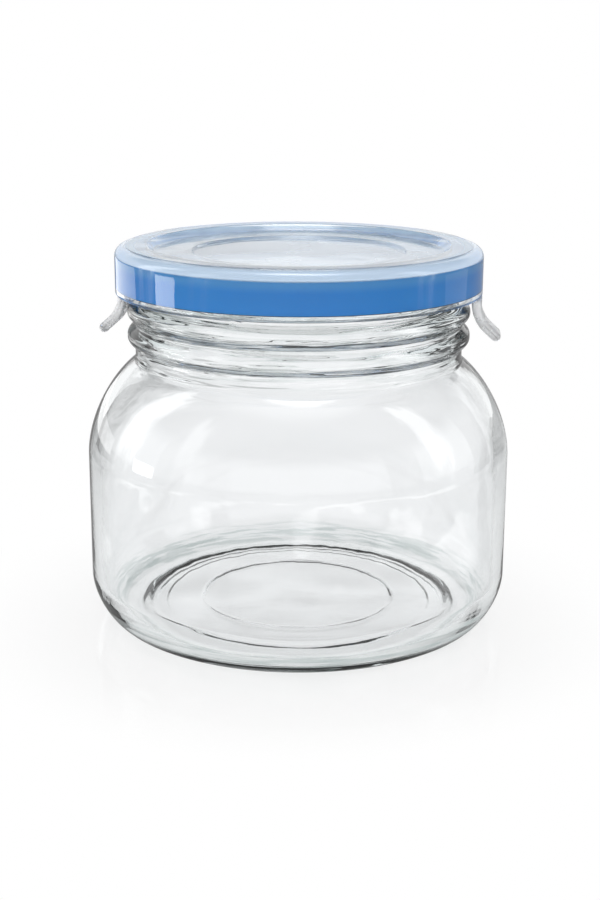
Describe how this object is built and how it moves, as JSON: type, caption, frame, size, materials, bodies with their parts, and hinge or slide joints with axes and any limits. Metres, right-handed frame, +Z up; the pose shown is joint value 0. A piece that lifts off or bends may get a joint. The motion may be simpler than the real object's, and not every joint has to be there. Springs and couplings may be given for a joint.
{
  "type": "glass storage jar with push-on lid",
  "caption": "Squat round clear glass storage jar with a beaded neck and a clear push-on lid with pull tabs over a blue sealing ring.",
  "frame": {"origin": "on the table under the middle of the jar", "axes": "+Z up along the jar's axis; the lid's two pull tabs lie on the X axis"},
  "size_m": [0.1, 0.1, 0.0891],
  "materials": {
    "glass": "clear, slightly green soda-lime glass, fire-polished",
    "clear_plastic": "clear, smooth, slightly frosted on the tabs",
    "blue_seal": "smooth, semi-gloss, bright blue"
  },
  "bodies": {
    "root": {"jar": "glass", "lid": "clear_plastic", "seal_ring": "blue_seal"}
  },
  "joints": []
}
